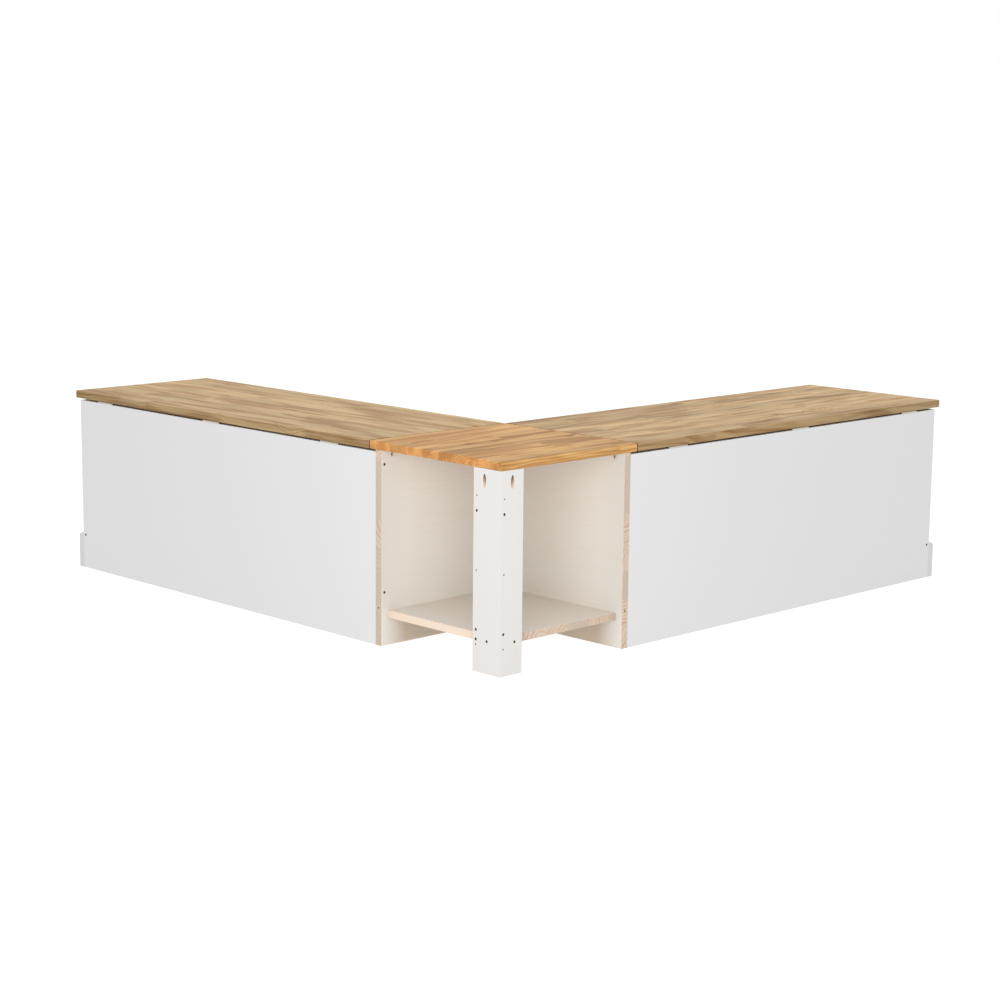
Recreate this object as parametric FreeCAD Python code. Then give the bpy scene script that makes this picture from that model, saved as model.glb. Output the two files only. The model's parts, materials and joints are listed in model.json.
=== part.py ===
"""Corner storage bench: two lidded chests that meet at a corner compartment.

Every piece is drawn in a plan frame (u, v, z) whose zero is the floor point under the outer
rear corner, where two room walls meet. For the corner and the right wing, u runs along the
right wing and v along the left one. For the left wing the two trade places, so one drawing
serves both wings: u always runs along the wing and v always runs from the wall to the room.
"""
import FreeCAD
import Part
import math
import os
from collections import namedtuple

os.makedirs("parts", exist_ok=True)

Screw = namedtuple("Screw", "radius head_radius length")

# Seat boards
OVERALL_LENGTH = 1500.0
SEAT_DEPTH = 400.0
SEAT_HEIGHT = 440.0
SEAT_THICKNESS = 18.0
SEAT_OVERHANG = 20.0
SEAT_EASING = 1.5
SEAM_GAP = 3.0

# Case boards
BOARD = 18.0
SHELF_THICKNESS = 16.0
SHELF_TOP = 76.0
BOTTOM_PLAY = 0.5
PLINTH_THICKNESS = 18.0
PLINTH_HEIGHT = 85.0
PLINTH_ROUND = 8.0
CLEAT = 20.0
CLEAT_INSET = 20.0
BATTEN_WIDTH = 45.0
BATTEN_THICKNESS = 18.0
BATTEN_CLEARANCE = 24.0
BATTEN_CHAMFER = 10.0
BATTEN_END_DISTANCE = 190.0

# Corner post: two equal boards at a right angle
POST_WIDTH = 62.0
POCKET_RADIUS = 4.5
POCKET_TILT = 18.0
POCKET_BELOW_TOP = 25.0
POCKET_REACH = 14.0
PILOT_RADIUS = 1.8
PILOT_DEPTH = 8.0
PILOT_HEIGHT = 57.0
JOINT_HEIGHT = 88.0
SHELF_SCREW_FROM_EDGE = 41.0

# Side panels of the corner compartment
CASE_SCREW_LOW = 116.0
CASE_SCREW_BELOW_TOP = 30.0
END_SCREW_HEIGHT = 82.0
EDGE_HOLE_RADIUS = 2.0
EDGE_HOLE_DEPTH = 30.0
TOP_SCREW_INSET = 30.0
TOP_SCREW_BELOW = 11.0
TOP_SCREW_TILT = 45.0
TOP_SCREW_SINK = 5.0

# Butt hinges, three to a lid
HINGE_LENGTH = 60.0
HINGE_END_DISTANCE = 127.5
HINGE_COUNT = 3
KNUCKLE_COUNT = 3
KNUCKLE_GAP = 0.2
KNUCKLE_CLEARANCE = 0.1
PIN_RADIUS = 1.0
PIN_CLEARANCE = 0.05
LEAF_THICKNESS = 0.9
LEAF_DEPTH = 16.0
LEAF_SCREW_SPREAD = 40.0
LEAF_SCREW_COUNT = 2

# Fasteners and their small holes, drawn with few sides because there are many of them
SCREW_SIDES = 6
DOWEL_SIDES = 8
SMALL_HOLE_SIDES = 16
LONG_SCREW = Screw(radius=1.9, head_radius=2.9, length=46.0)
TOP_SCREW = Screw(radius=1.9, head_radius=2.9, length=26.0)
POCKET_SCREW = Screw(radius=1.9, head_radius=3.6, length=25.0)
HINGE_SCREW = Screw(radius=1.4, head_radius=2.6, length=14.0)
SCREW_SINK = 1.0
SCREW_CLEARANCE = 0.1
SCREW_HOLE_RADIUS = 3.1
CUT_MARGIN = 1.0
DOWEL_RADIUS = 4.0
DOWEL_LENGTH = 32.0
DOWEL_SHORT_SIDE = 9.0
DOWEL_CLEARANCE = 0.1
DOWEL_HEIGHTS = (120.0, 330.0)
DOWEL_STAGGER = 20.0
SHELF_DOWEL_INSET = 70.0

# Sizes that follow
case_depth = SEAT_DEPTH - SEAT_OVERHANG
case_end = OVERALL_LENGTH - SEAT_OVERHANG
case_top = SEAT_HEIGHT - SEAT_THICKNESS
front_inside = case_depth - BOARD
end_inside = case_end - BOARD
shelf_underside = SHELF_TOP - SHELF_THICKNESS
shelf_middle = SHELF_TOP - SHELF_THICKNESS / 2
knuckle_radius = PIN_RADIUS + LEAF_THICKNESS
half_hinge_gap = knuckle_radius + KNUCKLE_CLEARANCE
rear_panel_top = case_top - 2 * half_hinge_gap
hinge_axis_height = case_top - half_hinge_gap
leaf_rear_edge = knuckle_radius + KNUCKLE_CLEARANCE
lid_start = SEAT_DEPTH + SEAM_GAP
lid_length = OVERALL_LENGTH - lid_start
lid_middle = lid_start + lid_length / 2
post_outer = BOARD + POST_WIDTH
post_joint_edge = BOARD / 2

# The part's origin is the middle of its floor square, hinge knuckles included
floor_square_middle = (OVERALL_LENGTH - knuckle_radius) / 2


def vector(u, v, z):
    return FreeCAD.Vector(u, v, z)


def block(low, high):
    """A board between two opposite corners."""
    return Part.makeBox(high[0] - low[0], high[1] - low[1], high[2] - low[2], vector(*low))


def cylinder(start, direction, radius, length):
    return Part.makeCylinder(radius, length, vector(*start), vector(*direction))


def spread(middle, total, count):
    """Evenly spaced places over a total width, symmetric about the middle."""
    if count == 1:
        return [middle]
    return [middle - total / 2 + total * index / (count - 1) for index in range(count)]


def flat_face(corners):
    return Part.Face(Part.makePolygon(corners + corners[:1]))


def stepped_prism(sections, sides, start, direction):
    """A flat-sided peg through (radius, distance) sections, laid along a direction."""
    angles = [math.tau * side / sides for side in range(sides)]
    outlines = [
        [vector(radius * math.cos(angle), radius * math.sin(angle), reach) for angle in angles]
        for radius, reach in sections
    ]
    faces = [flat_face(outlines[0]), flat_face(outlines[-1])]
    for near, far in zip(outlines, outlines[1:]):
        for side in range(sides):
            faces.append(flat_face([near[side - 1], near[side], far[side], far[side - 1]]))
    shell = Part.makeShell(faces)
    shell.sewShape()
    solid = Part.makeSolid(shell)
    turn = FreeCAD.Rotation(vector(0, 0, 1), vector(*direction))
    solid.Placement = FreeCAD.Placement(vector(*start), turn)
    return solid


def small_hole(start, direction, radius, length):
    return stepped_prism([(radius, 0), (radius, length)], SMALL_HOLE_SIDES, start, direction)


def screw_solid(screw, start, direction):
    """A countersunk screw whose head face lies at start."""
    cone = screw.head_radius - screw.radius
    sections = [(screw.head_radius, 0), (screw.radius, cone), (screw.radius, screw.length)]
    return stepped_prism(sections, SCREW_SIDES, start, direction)


def screw_hole(screw, start, direction, mouth):
    """The hole that a screw fills, open for the length of its mouth behind the head."""
    entry = screw.head_radius + SCREW_CLEARANCE
    shank = screw.radius + SCREW_CLEARANCE
    seat = screw.head_radius - screw.radius
    bottom = screw.length + SCREW_CLEARANCE
    sections = [(entry, -mouth), (entry, 0), (shank, seat), (shank, bottom)]
    return stepped_prism(sections, SCREW_SIDES, start, direction)


def moved(start, direction, distance):
    """A point a distance further along a unit direction."""
    return tuple(place + step * distance for place, step in zip(start, direction))


def place_right(shape):
    """From the plan frame of the corner or right wing to the part's own frame."""
    flipped = shape.mirror(vector(0, 0, 0), vector(0, 1, 0))
    flipped.translate(vector(-floor_square_middle, floor_square_middle, 0))
    return flipped


def place_left(shape):
    """From the plan frame of the left wing to the part's own frame."""
    turned_shape = shape.copy()
    turned_shape.rotate(vector(0, 0, 0), vector(0, 0, 1), -90)
    turned_shape.translate(vector(-floor_square_middle, floor_square_middle, 0))
    return turned_shape


def save(name, shape):
    shape.exportStep("parts/" + name + ".step")
    print(name, "solids", len(shape.Solids), "valid", shape.isValid(), "volume", round(shape.Volume))


def group(shapes):
    return shapes[0] if len(shapes) == 1 else Part.makeCompound(shapes)


def eased_block(low, high):
    """A seat board with all its edges taken off."""
    board = block(low, high)
    return board.makeChamfer(SEAT_EASING, board.Edges)


def dowel(start, direction):
    """A glued dowel, its short end towards start."""
    sections = [(DOWEL_RADIUS, 0), (DOWEL_RADIUS, DOWEL_LENGTH)]
    return stepped_prism(sections, DOWEL_SIDES, start, direction)


def dowel_hole(start, direction):
    radius = DOWEL_RADIUS + DOWEL_CLEARANCE
    sections = [(radius, -DOWEL_CLEARANCE), (radius, DOWEL_LENGTH + DOWEL_CLEARANCE)]
    return stepped_prism(sections, DOWEL_SIDES, start, direction)


class Joinery:
    """The fasteners of one run of boards, with the holes that they need."""

    def __init__(self):
        self.solids = []
        self.holes = []

    def screw(self, screw, face, direction, sink=SCREW_SINK, mouth_radius=SCREW_HOLE_RADIUS, slant=0.0):
        """Drive a screw from a point on a face, its head sunk in a wider mouth below that face.

        A slanting hole runs further back, so that its whole mouth opens on the face.
        """
        start = moved(face, direction, sink)
        mouth = sink + slant + CUT_MARGIN
        self.solids.append(screw_solid(screw, start, direction))
        self.holes.append(screw_hole(screw, start, direction, CUT_MARGIN))
        self.holes.append(small_hole(moved(start, direction, -mouth), direction, mouth_radius, mouth))

    def dowel(self, start, direction):
        self.solids.append(dowel(start, direction))
        self.holes.append(dowel_hole(start, direction))


def cut_all(shape, *joints):
    """Drill a board for every fastener that passes through it."""
    near = [hole for joint in joints for hole in joint.holes
            if hole.BoundBox.intersect(shape.BoundBox)]
    return shape.cut(near) if near else shape


def hinge_places():
    """The middles of a lid's hinges, the outer ones a set distance from its ends."""
    return spread(lid_middle, lid_length - 2 * HINGE_END_DISTANCE, HINGE_COUNT)


def hinge_leaf(middle, on_lid):
    """One leaf: a plate with every second knuckle rolled from its rear edge."""
    start = middle - HINGE_LENGTH / 2
    pitch = HINGE_LENGTH / KNUCKLE_COUNT
    plate_low = case_top - LEAF_THICKNESS if on_lid else rear_panel_top
    plate_high = plate_low + LEAF_THICKNESS
    bore = PIN_RADIUS + (PIN_CLEARANCE if on_lid else 0)
    leaf = block((start, leaf_rear_edge, plate_low), (start + HINGE_LENGTH, LEAF_DEPTH, plate_high))
    bores = []
    for index in range(1 if on_lid else 0, KNUCKLE_COUNT, 2):
        low = start + pitch * index + KNUCKLE_GAP / 2
        high = start + pitch * (index + 1) - KNUCKLE_GAP / 2
        centre = (low, 0, hinge_axis_height)
        barrel = cylinder(centre, (1, 0, 0), knuckle_radius, high - low)
        neck = block((low, 0, plate_low), (high, leaf_rear_edge, plate_high))
        leaf = leaf.fuse([barrel, neck])
        bores.append(cylinder(centre, (1, 0, 0), bore, high - low))
    return leaf.cut(bores).removeSplitter()


def hinge_pin(middle):
    start = (middle - HINGE_LENGTH / 2, 0, hinge_axis_height)
    return cylinder(start, (1, 0, 0), PIN_RADIUS, HINGE_LENGTH)


def leaf_screws(on_lid):
    """The screws of every leaf of a wing, their heads seated in the leaf plates."""
    joint = Joinery()
    depth = (leaf_rear_edge + LEAF_DEPTH) / 2
    seat = HINGE_SCREW.head_radius - HINGE_SCREW.radius
    height = case_top - seat if on_lid else rear_panel_top + seat
    direction = (0, 0, 1) if on_lid else (0, 0, -1)
    for middle in hinge_places():
        for place in spread(middle, LEAF_SCREW_SPREAD, LEAF_SCREW_COUNT):
            start = (place, depth, height)
            joint.solids.append(screw_solid(HINGE_SCREW, start, direction))
            joint.holes.append(screw_hole(HINGE_SCREW, start, direction, LEAF_THICKNESS))
    return joint


def plinth_section(low_v, high_v, z_top):
    """A plinth board's cross-section, standing at u = 0, rounded at its outer top edge."""
    corner = (high_v - PLINTH_ROUND, z_top - PLINTH_ROUND)
    half = PLINTH_ROUND * math.sqrt(0.5)
    round_start = vector(0, high_v, corner[1])
    round_middle = vector(0, corner[0] + half, corner[1] + half)
    round_end = vector(0, corner[0], z_top)
    edges = [
        Part.makeLine(vector(0, low_v, 0), vector(0, high_v, 0)),
        Part.makeLine(vector(0, high_v, 0), round_start),
        Part.Arc(round_start, round_middle, round_end).toShape(),
        Part.makeLine(round_end, vector(0, low_v, z_top)),
        Part.makeLine(vector(0, low_v, z_top), vector(0, low_v, 0)),
    ]
    return Part.Face(Part.Wire(edges))


def plan_prism(points):
    return flat_face([vector(u, v, 0) for u, v in points]).extrude(vector(0, 0, PLINTH_HEIGHT))


def front_plinth():
    """Along the room side, mitred to its neighbour at both ends."""
    outer_u = case_end + PLINTH_THICKNESS
    outer_v = case_depth + PLINTH_THICKNESS
    section = plinth_section(case_depth, outer_v, PLINTH_HEIGHT)
    length = section.extrude(vector(outer_u, 0, 0))
    plan = [(case_depth, case_depth), (case_end, case_depth), (outer_u, outer_v), (outer_v, outer_v)]
    return length.common(plan_prism(plan))


def end_plinth():
    """Across the free end, mitred to the front plinth and square at the wall."""
    outer_u = case_end + PLINTH_THICKNESS
    outer_v = case_depth + PLINTH_THICKNESS
    section = plinth_section(0, PLINTH_THICKNESS, PLINTH_HEIGHT)
    length = section.extrude(vector(outer_v, 0, 0))
    length.rotate(vector(0, 0, 0), vector(0, 0, 1), -90)
    length.translate(vector(case_end, outer_v, 0))
    plan = [(case_end, 0), (outer_u, 0), (outer_u, outer_v), (case_end, case_depth)]
    return length.common(plan_prism(plan))


def batten(middle):
    """A stiffener across the underside of a lid, its lower ends bevelled."""
    rear = BOARD + BATTEN_CLEARANCE
    front = front_inside - BATTEN_CLEARANCE
    low = case_top - BATTEN_THICKNESS
    outline = [
        (rear, case_top), (front, case_top), (front, low + BATTEN_CHAMFER),
        (front - BATTEN_CHAMFER, low), (rear + BATTEN_CHAMFER, low), (rear, low + BATTEN_CHAMFER),
    ]
    corner = middle - BATTEN_WIDTH / 2
    return flat_face([vector(corner, v, z) for v, z in outline]).extrude(vector(BATTEN_WIDTH, 0, 0))


def cleat(low_v):
    """A square bar that carries the chest bottom."""
    low = (case_depth + CLEAT_INSET, low_v, shelf_underside - CLEAT)
    return block(low, (end_inside - CLEAT_INSET, low_v + CLEAT, shelf_underside))


def case_joinery(screwed_rear, dowel_rise):
    """Joints of one chest: long screws and dowels."""
    long_screws = Joinery()
    dowels = Joinery()
    along = (1, 0, 0)
    inward = (0, 1, 0)
    case_screw_heights = (CASE_SCREW_LOW, case_top - CASE_SCREW_BELOW_TOP)
    dowel_start = case_depth - DOWEL_SHORT_SIDE
    for height in case_screw_heights:
        if screwed_rear:
            face = (front_inside, BOARD / 2, height)
            long_screws.screw(LONG_SCREW, face, along)
        else:
            dowels.dowel((dowel_start, BOARD / 2, height), along)
    end_middle = case_end - BOARD / 2
    long_screws.screw(LONG_SCREW, (end_middle, 0, END_SCREW_HEIGHT), inward)
    for height in DOWEL_HEIGHTS:
        dowels.dowel((dowel_start, case_depth - BOARD / 2, height + dowel_rise), along)
        dowels.dowel((end_middle, case_depth - DOWEL_SHORT_SIDE, height), (0, -1, 0))
    dowels.dowel((end_middle, DOWEL_SHORT_SIDE, DOWEL_HEIGHTS[-1]), inward)
    return long_screws, dowels


def swapped(shape):
    """The same shape with u and v exchanged."""
    return shape.mirror(vector(0, 0, 0), vector(1, -1, 0))


def swapped_joint(joint):
    other = Joinery()
    other.solids = [swapped(solid) for solid in joint.solids]
    other.holes = [swapped(hole) for hole in joint.holes]
    return other


def post_board(extra_shelf_screw):
    """One of the two equal post boards, seen from outside.

    It is drawn with its outer face at y = 0 and x running from its left edge. The holes for the
    other board's screws are bored in both boards, and only one of the boards uses them.
    """
    joint_screws = Joinery()
    shelf_screws = Joinery()
    pocket_screws = Joinery()
    inward = (0, 1, 0)
    board = block((0, 0, 0), (POST_WIDTH, BOARD, case_top))
    for height in (JOINT_HEIGHT, case_top - JOINT_HEIGHT):
        joint_screws.screw(LONG_SCREW, (post_joint_edge, 0, height), inward)
    shelf_places = [SHELF_SCREW_FROM_EDGE]
    if extra_shelf_screw:
        shelf_places.append(post_joint_edge)
    for place in shelf_places:
        shelf_screws.screw(LONG_SCREW, (place, 0, shelf_middle), inward)
    tilt = math.radians(POCKET_TILT)
    axis = (0, math.sin(tilt), math.cos(tilt))
    crossing = (POST_WIDTH / 2, 0, case_top - POCKET_BELOW_TOP)
    pocket_screws.screw(POCKET_SCREW, crossing, axis, POCKET_REACH, POCKET_RADIUS,
                        POCKET_RADIUS / math.tan(tilt))
    pilots = [
        small_hole((post_joint_edge, 0, height), inward, PILOT_RADIUS, PILOT_DEPTH)
        for height in (PILOT_HEIGHT, case_top / 2, case_top - PILOT_HEIGHT)
    ]
    board = cut_all(board, joint_screws, shelf_screws, pocket_screws).cut(pilots)
    return board, joint_screws, shelf_screws, pocket_screws


def post_place(shape, on_right):
    """Stand a post board, or what is fastened through it, at the outer rear corner."""
    flipped = shape.mirror(vector(0, 0, 0), vector(1, 0, 0))
    if on_right:
        flipped.translate(vector(post_outer, 0, 0))
        return flipped
    return swapped(shape)


def side_joinery():
    """Screws up into the corner top and dowels into the shelf, for the right side panel."""
    top_screws = Joinery()
    shelf_dowels = Joinery()
    tilt = math.radians(TOP_SCREW_TILT)
    axis = (math.cos(tilt), 0, math.sin(tilt))
    for place in (TOP_SCREW_INSET, front_inside - TOP_SCREW_INSET):
        crossing = (front_inside, place, case_top - TOP_SCREW_BELOW)
        top_screws.screw(TOP_SCREW, crossing, axis, TOP_SCREW_SINK, SCREW_HOLE_RADIUS,
                         SCREW_HOLE_RADIUS * math.tan(tilt))
    for place in (BOARD + SHELF_DOWEL_INSET, front_inside - SHELF_DOWEL_INSET):
        shelf_dowels.dowel((front_inside + DOWEL_SHORT_SIDE, place, shelf_middle), (-1, 0, 0))
    return top_screws, shelf_dowels


def edge_hole():
    """A blind hole in the rear edge of a side panel, level with the end panel's screw."""
    start = (case_depth - BOARD / 2, 0, END_SCREW_HEIGHT)
    return small_hole(start, (0, 1, 0), EDGE_HOLE_RADIUS, EDGE_HOLE_DEPTH)


def corner_pieces(right_case, left_case):
    """The corner unit: post, side panels, shelf and fixed top, with their fasteners.

    right_case and left_case are the joints of the two chests, drawn in the corner's plan frame.
    """
    right_board, _, right_shelf, right_pocket = post_board(extra_shelf_screw=True)
    left_board, post_screws, left_shelf, left_pocket = post_board(extra_shelf_screw=False)
    top_screws, shelf_dowels = side_joinery()
    corner_dowels = Joinery()
    for height in DOWEL_HEIGHTS:
        start = (front_inside + DOWEL_SHORT_SIDE, case_depth - BOARD / 2, height + 2 * DOWEL_STAGGER)
        corner_dowels.dowel(start, (-1, 0, 0))
    other_top_screws = swapped_joint(top_screws)
    other_shelf_dowels = swapped_joint(shelf_dowels)

    def posted(joints_right, joints_left, kind):
        right = [post_place(item, on_right=True) for item in getattr(joints_right, kind)]
        left = [post_place(item, on_right=False) for item in getattr(joints_left, kind)]
        return right + left

    shelf_holes = posted(right_shelf, left_shelf, "holes")
    pocket_holes = posted(right_pocket, left_pocket, "holes")
    joint_holes = [post_place(hole, on_right=False) for hole in post_screws.holes]
    joint_solids = [post_place(solid, on_right=False) for solid in post_screws.solids]

    side_right = block((front_inside, 0, 0), (case_depth, case_depth, case_top))
    side_left = block((0, front_inside, 0), (front_inside, case_depth, case_top))
    shelf = block((BOARD, BOARD, shelf_underside), (front_inside, front_inside, SHELF_TOP))
    top = eased_block((0, 0, case_top), (SEAT_DEPTH, SEAT_DEPTH, SEAT_HEIGHT))

    side_right = cut_all(side_right, top_screws, shelf_dowels, corner_dowels, *right_case, *left_case)
    side_left = cut_all(side_left, other_top_screws, other_shelf_dowels, corner_dowels, *left_case)
    shelf = cut_all(shelf, shelf_dowels, other_shelf_dowels).cut(shelf_holes)
    top = cut_all(top, top_screws, other_top_screws).cut(pocket_holes)
    board_right = post_place(right_board, on_right=True).cut(joint_holes)

    screws = joint_solids + posted(right_shelf, left_shelf, "solids")
    dowels = shelf_dowels.solids + other_shelf_dowels.solids + corner_dowels.solids
    return {
        "corner_top": top,
        "corner_side_panel_right": side_right.cut(edge_hole()),
        "corner_side_panel_left": side_left.cut(swapped(edge_hole())),
        "corner_post_board_right": board_right,
        "corner_post_board_left": post_place(left_board, on_right=False),
        "corner_shelf": shelf,
        "corner_post_screws": group(screws),
        "corner_pocket_screws": group(posted(right_pocket, left_pocket, "solids")),
        "corner_top_screws": group(top_screws.solids + other_top_screws.solids),
        "corner_dowels": group(dowels),
    }


def wing_pieces(case_joints):
    """One chest with its lid, drawn along u."""
    long_screws, dowels = case_joints
    case_leaf_screws = leaf_screws(on_lid=False)
    lid_leaf_screws = leaf_screws(on_lid=True)
    rear = block((case_depth, 0, 0), (case_end, BOARD, rear_panel_top))
    front = block((case_depth, front_inside, 0), (case_end, case_depth, case_top))
    end = block((end_inside, BOARD, 0), (case_end, front_inside, case_top))
    bottom = block(
        (case_depth + BOTTOM_PLAY, BOARD + BOTTOM_PLAY, shelf_underside),
        (end_inside - BOTTOM_PLAY, front_inside - BOTTOM_PLAY, SHELF_TOP),
    )
    pieces = {
        "rear_panel": cut_all(rear, long_screws, dowels, case_leaf_screws),
        "front_panel": cut_all(front, dowels),
        "end_panel": cut_all(end, long_screws, dowels),
        "bottom_panel": bottom,
        "rear_cleat": cleat(BOARD),
        "front_cleat": cleat(front_inside - CLEAT),
        "front_plinth": front_plinth(),
        "end_plinth": end_plinth(),
        "long_screws": group(long_screws.solids),
        "dowels": group(dowels.solids),
        "hinge_case_screws": group(case_leaf_screws.solids),
        "hinge_lid_screws": group(lid_leaf_screws.solids),
    }

    ends = (lid_start + BATTEN_END_DISTANCE, OVERALL_LENGTH - BATTEN_END_DISTANCE)
    for name, middle in zip(("inner", "outer"), ends):
        pieces["lid_batten_" + name] = batten(middle)
    lid = eased_block((lid_start, 0, case_top), (OVERALL_LENGTH, SEAT_DEPTH, SEAT_HEIGHT))
    pieces["lid"] = cut_all(lid, lid_leaf_screws)

    for name, middle in zip(("inner", "middle", "outer"), hinge_places()):
        pieces["hinge_" + name + "_case_leaf"] = cut_all(hinge_leaf(middle, False), case_leaf_screws)
        pieces["hinge_" + name + "_lid_leaf"] = cut_all(hinge_leaf(middle, True), lid_leaf_screws)
    pieces["hinge_pins"] = group([hinge_pin(middle) for middle in hinge_places()])
    return pieces


right_joints = case_joinery(screwed_rear=True, dowel_rise=0)
left_joints = case_joinery(screwed_rear=False, dowel_rise=DOWEL_STAGGER)
left_joints_in_corner = [swapped_joint(joint) for joint in left_joints]
for name, piece in corner_pieces(right_joints, left_joints_in_corner).items():
    save(name, place_right(piece))
for name, piece in wing_pieces(right_joints).items():
    save("right_" + name, place_right(piece))
for name, piece in wing_pieces(left_joints).items():
    save("left_" + name, place_left(piece))
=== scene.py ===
import json
import math

import bmesh
import bpy
import numpy as np
from mathutils import Matrix, Vector

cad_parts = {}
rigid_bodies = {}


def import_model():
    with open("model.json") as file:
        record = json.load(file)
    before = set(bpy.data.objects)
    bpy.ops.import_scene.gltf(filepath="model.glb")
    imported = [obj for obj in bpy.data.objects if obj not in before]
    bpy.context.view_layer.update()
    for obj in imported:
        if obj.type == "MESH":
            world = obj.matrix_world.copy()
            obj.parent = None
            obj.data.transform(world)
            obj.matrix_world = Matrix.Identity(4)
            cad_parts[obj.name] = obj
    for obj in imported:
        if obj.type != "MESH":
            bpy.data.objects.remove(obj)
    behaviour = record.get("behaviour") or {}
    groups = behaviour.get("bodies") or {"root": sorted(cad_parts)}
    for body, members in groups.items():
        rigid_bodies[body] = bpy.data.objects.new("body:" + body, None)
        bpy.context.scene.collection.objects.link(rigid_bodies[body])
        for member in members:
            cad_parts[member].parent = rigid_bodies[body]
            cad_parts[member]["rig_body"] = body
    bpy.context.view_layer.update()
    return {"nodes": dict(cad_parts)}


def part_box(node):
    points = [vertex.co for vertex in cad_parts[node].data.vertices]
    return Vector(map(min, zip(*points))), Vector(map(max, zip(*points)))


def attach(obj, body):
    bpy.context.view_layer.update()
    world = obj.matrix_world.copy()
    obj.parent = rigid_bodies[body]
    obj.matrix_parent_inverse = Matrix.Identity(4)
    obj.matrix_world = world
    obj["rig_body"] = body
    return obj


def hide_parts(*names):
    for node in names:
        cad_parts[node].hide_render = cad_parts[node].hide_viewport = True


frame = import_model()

bl_info = {
    "name": "Corner storage bench",
    "version": (1, 0, 0),
    "blender": (4, 5, 0),
    "location": "3D View > Sidebar > Bench",
    "description": "Finishes, small screws, light and camera for a corner storage bench",
    "category": "Object",
}

MM = 0.001
RIGHT, LEFT = "right", "left"
X, Y, Z = 0, 1, 2

# The walls' corner is on the floor under the outer rear corner of the fixed seat
seat_low, seat_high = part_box("corner_top")
WALL_CORNER = Vector((seat_low.x, seat_high.y, 0.0))

# Where the photograph was taken from, along the two walls and up from the floor
CAMERA_ALONG_RIGHT = -3113.5 * MM
CAMERA_ALONG_LEFT = -3049.8 * MM
CAMERA_HEIGHT = 1131.5 * MM
CAMERA_TURN = math.radians(44.371)
CAMERA_TILT = math.radians(-9.979)
CAMERA_ROLL = math.radians(0.558)
FOCAL_PIXELS = 2222.8
PICTURE_PIXELS = 1000
SENSOR_WIDTH = 36.0


def linear(hex_colour):
    """An sRGB hex colour as linear red, green, blue and alpha."""
    parts = [int(hex_colour[at:at + 2], 16) / 255 for at in (1, 3, 5)]
    return tuple(
        part / 12.92 if part <= 0.04045 else ((part + 0.055) / 1.055) ** 2.4 for part in parts
    ) + (1.0,)


def colour_property(name, description, hex_colour):
    return bpy.props.FloatVectorProperty(
        name=name, description=description, subtype="COLOR", size=4, min=0.0, max=1.0,
        default=linear(hex_colour),
    )


def length_property(name, description, millimetres):
    return bpy.props.FloatProperty(
        name=name, description=description, unit="LENGTH", min=0.0, default=millimetres * MM,
    )


class BenchTimber(bpy.types.PropertyGroup):
    """Colours and sizes of the wood."""

    seat_early: colour_property("Seat earlywood", "Pale bands of the oiled seats", "#D7B282")
    seat_late: colour_property("Seat latewood", "Dark bands of the oiled seats", "#9C6C3A")
    seat_end: colour_property(
        "Seat end grain", "End grain of the seats, which drinks more oil", "#B4794A")
    corner_tint: colour_property(
        "Corner seat tint", "Golden oil of the fixed corner seat", "#FFF5D6")
    lid_tint: colour_property("Lid tint", "Duller oil of the lids", "#F4FDFE")
    raw_early: colour_property("Raw earlywood", "Pale bands where the pine is bare", "#DBC8B4")
    raw_late: colour_property("Raw latewood", "Dark bands where the pine is bare", "#C2906E")
    pocket: colour_property(
        "Bored pine", "Walls of the slanting pockets, cut across the grain", "#C8AA8B")
    # Painted shade of the hole walls
    hole_shade: colour_property("Hole shade", "Painted shade on the walls of the small holes and deep pockets", "#4A4542")
    knot: colour_property("Knot", "Heart of a knot", "#5A3418")
    lacquer: colour_property("White lacquer", "Lacquer of the rear panels", "#CDCDCE")
    lacquer_post: colour_property("Post lacquer", "Thicker lacquer of the corner post", "#CAC8C5")
    # A thin warm coat, painted lighter than the outer lacquer as light for the dim compartment
    inner_lacquer_with_painted_light: colour_property("Inner lacquer and painted light", "Thin warm coat of the inner faces, lightened as painted light", "#DFDBD4")
    # Painted shade of the inner faces in the low space under the shelf
    under_shelf_shade: colour_property(
        "Under-shelf shade", "Painted shade in the low space under the shelf", "#AD9E8B")
    stave_width: length_property("Strip width", "Width of the strips glued into a board", 50)
    panel_stave: length_property(
        "Panel strip width", "Width of the strips of the lacquered panels", 62)
    stave_length: length_property("Strip length", "Length of the strips between finger joints", 950)
    ring_width: length_property("Ring width", "Distance between two growth rings of the seats", 6.5)
    panel_ring: length_property(
        "Panel ring width", "Distance between two growth rings of the panels", 9.5)


class BenchMetal(bpy.types.PropertyGroup):
    """Colours and sizes of the metal."""

    zinc: colour_property("Zinc plate", "Colour of the hinges and their screws", "#CFC8BA")
    black: colour_property("Black phosphate", "Colour of the case screws", "#383431")
    screw_head: length_property("Screw head", "Head radius of the small wood screws", 3.4)
    screw_shank: length_property("Screw shank", "Shank radius of the small wood screws", 1.7)
    screw_length: length_property("Screw length", "Length of the small wood screws", 28)


class BenchStage(bpy.types.PropertyGroup):
    """The floor and the studio light."""

    floor: colour_property("Floor", "Colour of the plain floor", "#8A8A8A")
    floor_size: length_property("Floor size", "Side of the square floor", 60000)
    glow: bpy.props.FloatProperty(
        name="Floor light", description="Light that the lit studio floor sends up",
        default=0.84, min=0.0)
    sky: bpy.props.FloatProperty(
        name="Room light", description="Strength of the even white light all round",
        default=1.0, min=0.0)
    key: bpy.props.FloatProperty(
        name="Key light", description="Power of the large soft lamp before the outer rear corner",
        default=18.0, min=0.0, unit="POWER")


def add_node(tree, kind, inputs=(), **settings):
    """Add a node. An input is a value, a socket, or a node whose first open output is linked."""
    node = tree.nodes.new(kind)
    for name, value in settings.items():
        setattr(node, name, value)
    for name, value in inputs.items() if isinstance(inputs, dict) else enumerate(inputs):
        if isinstance(value, bpy.types.Node):
            value = next(socket for socket in value.outputs if socket.enabled)
        if isinstance(value, bpy.types.NodeSocket):
            tree.links.new(value, node.inputs[name])
        else:
            node.inputs[name].default_value = value
    return node


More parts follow.
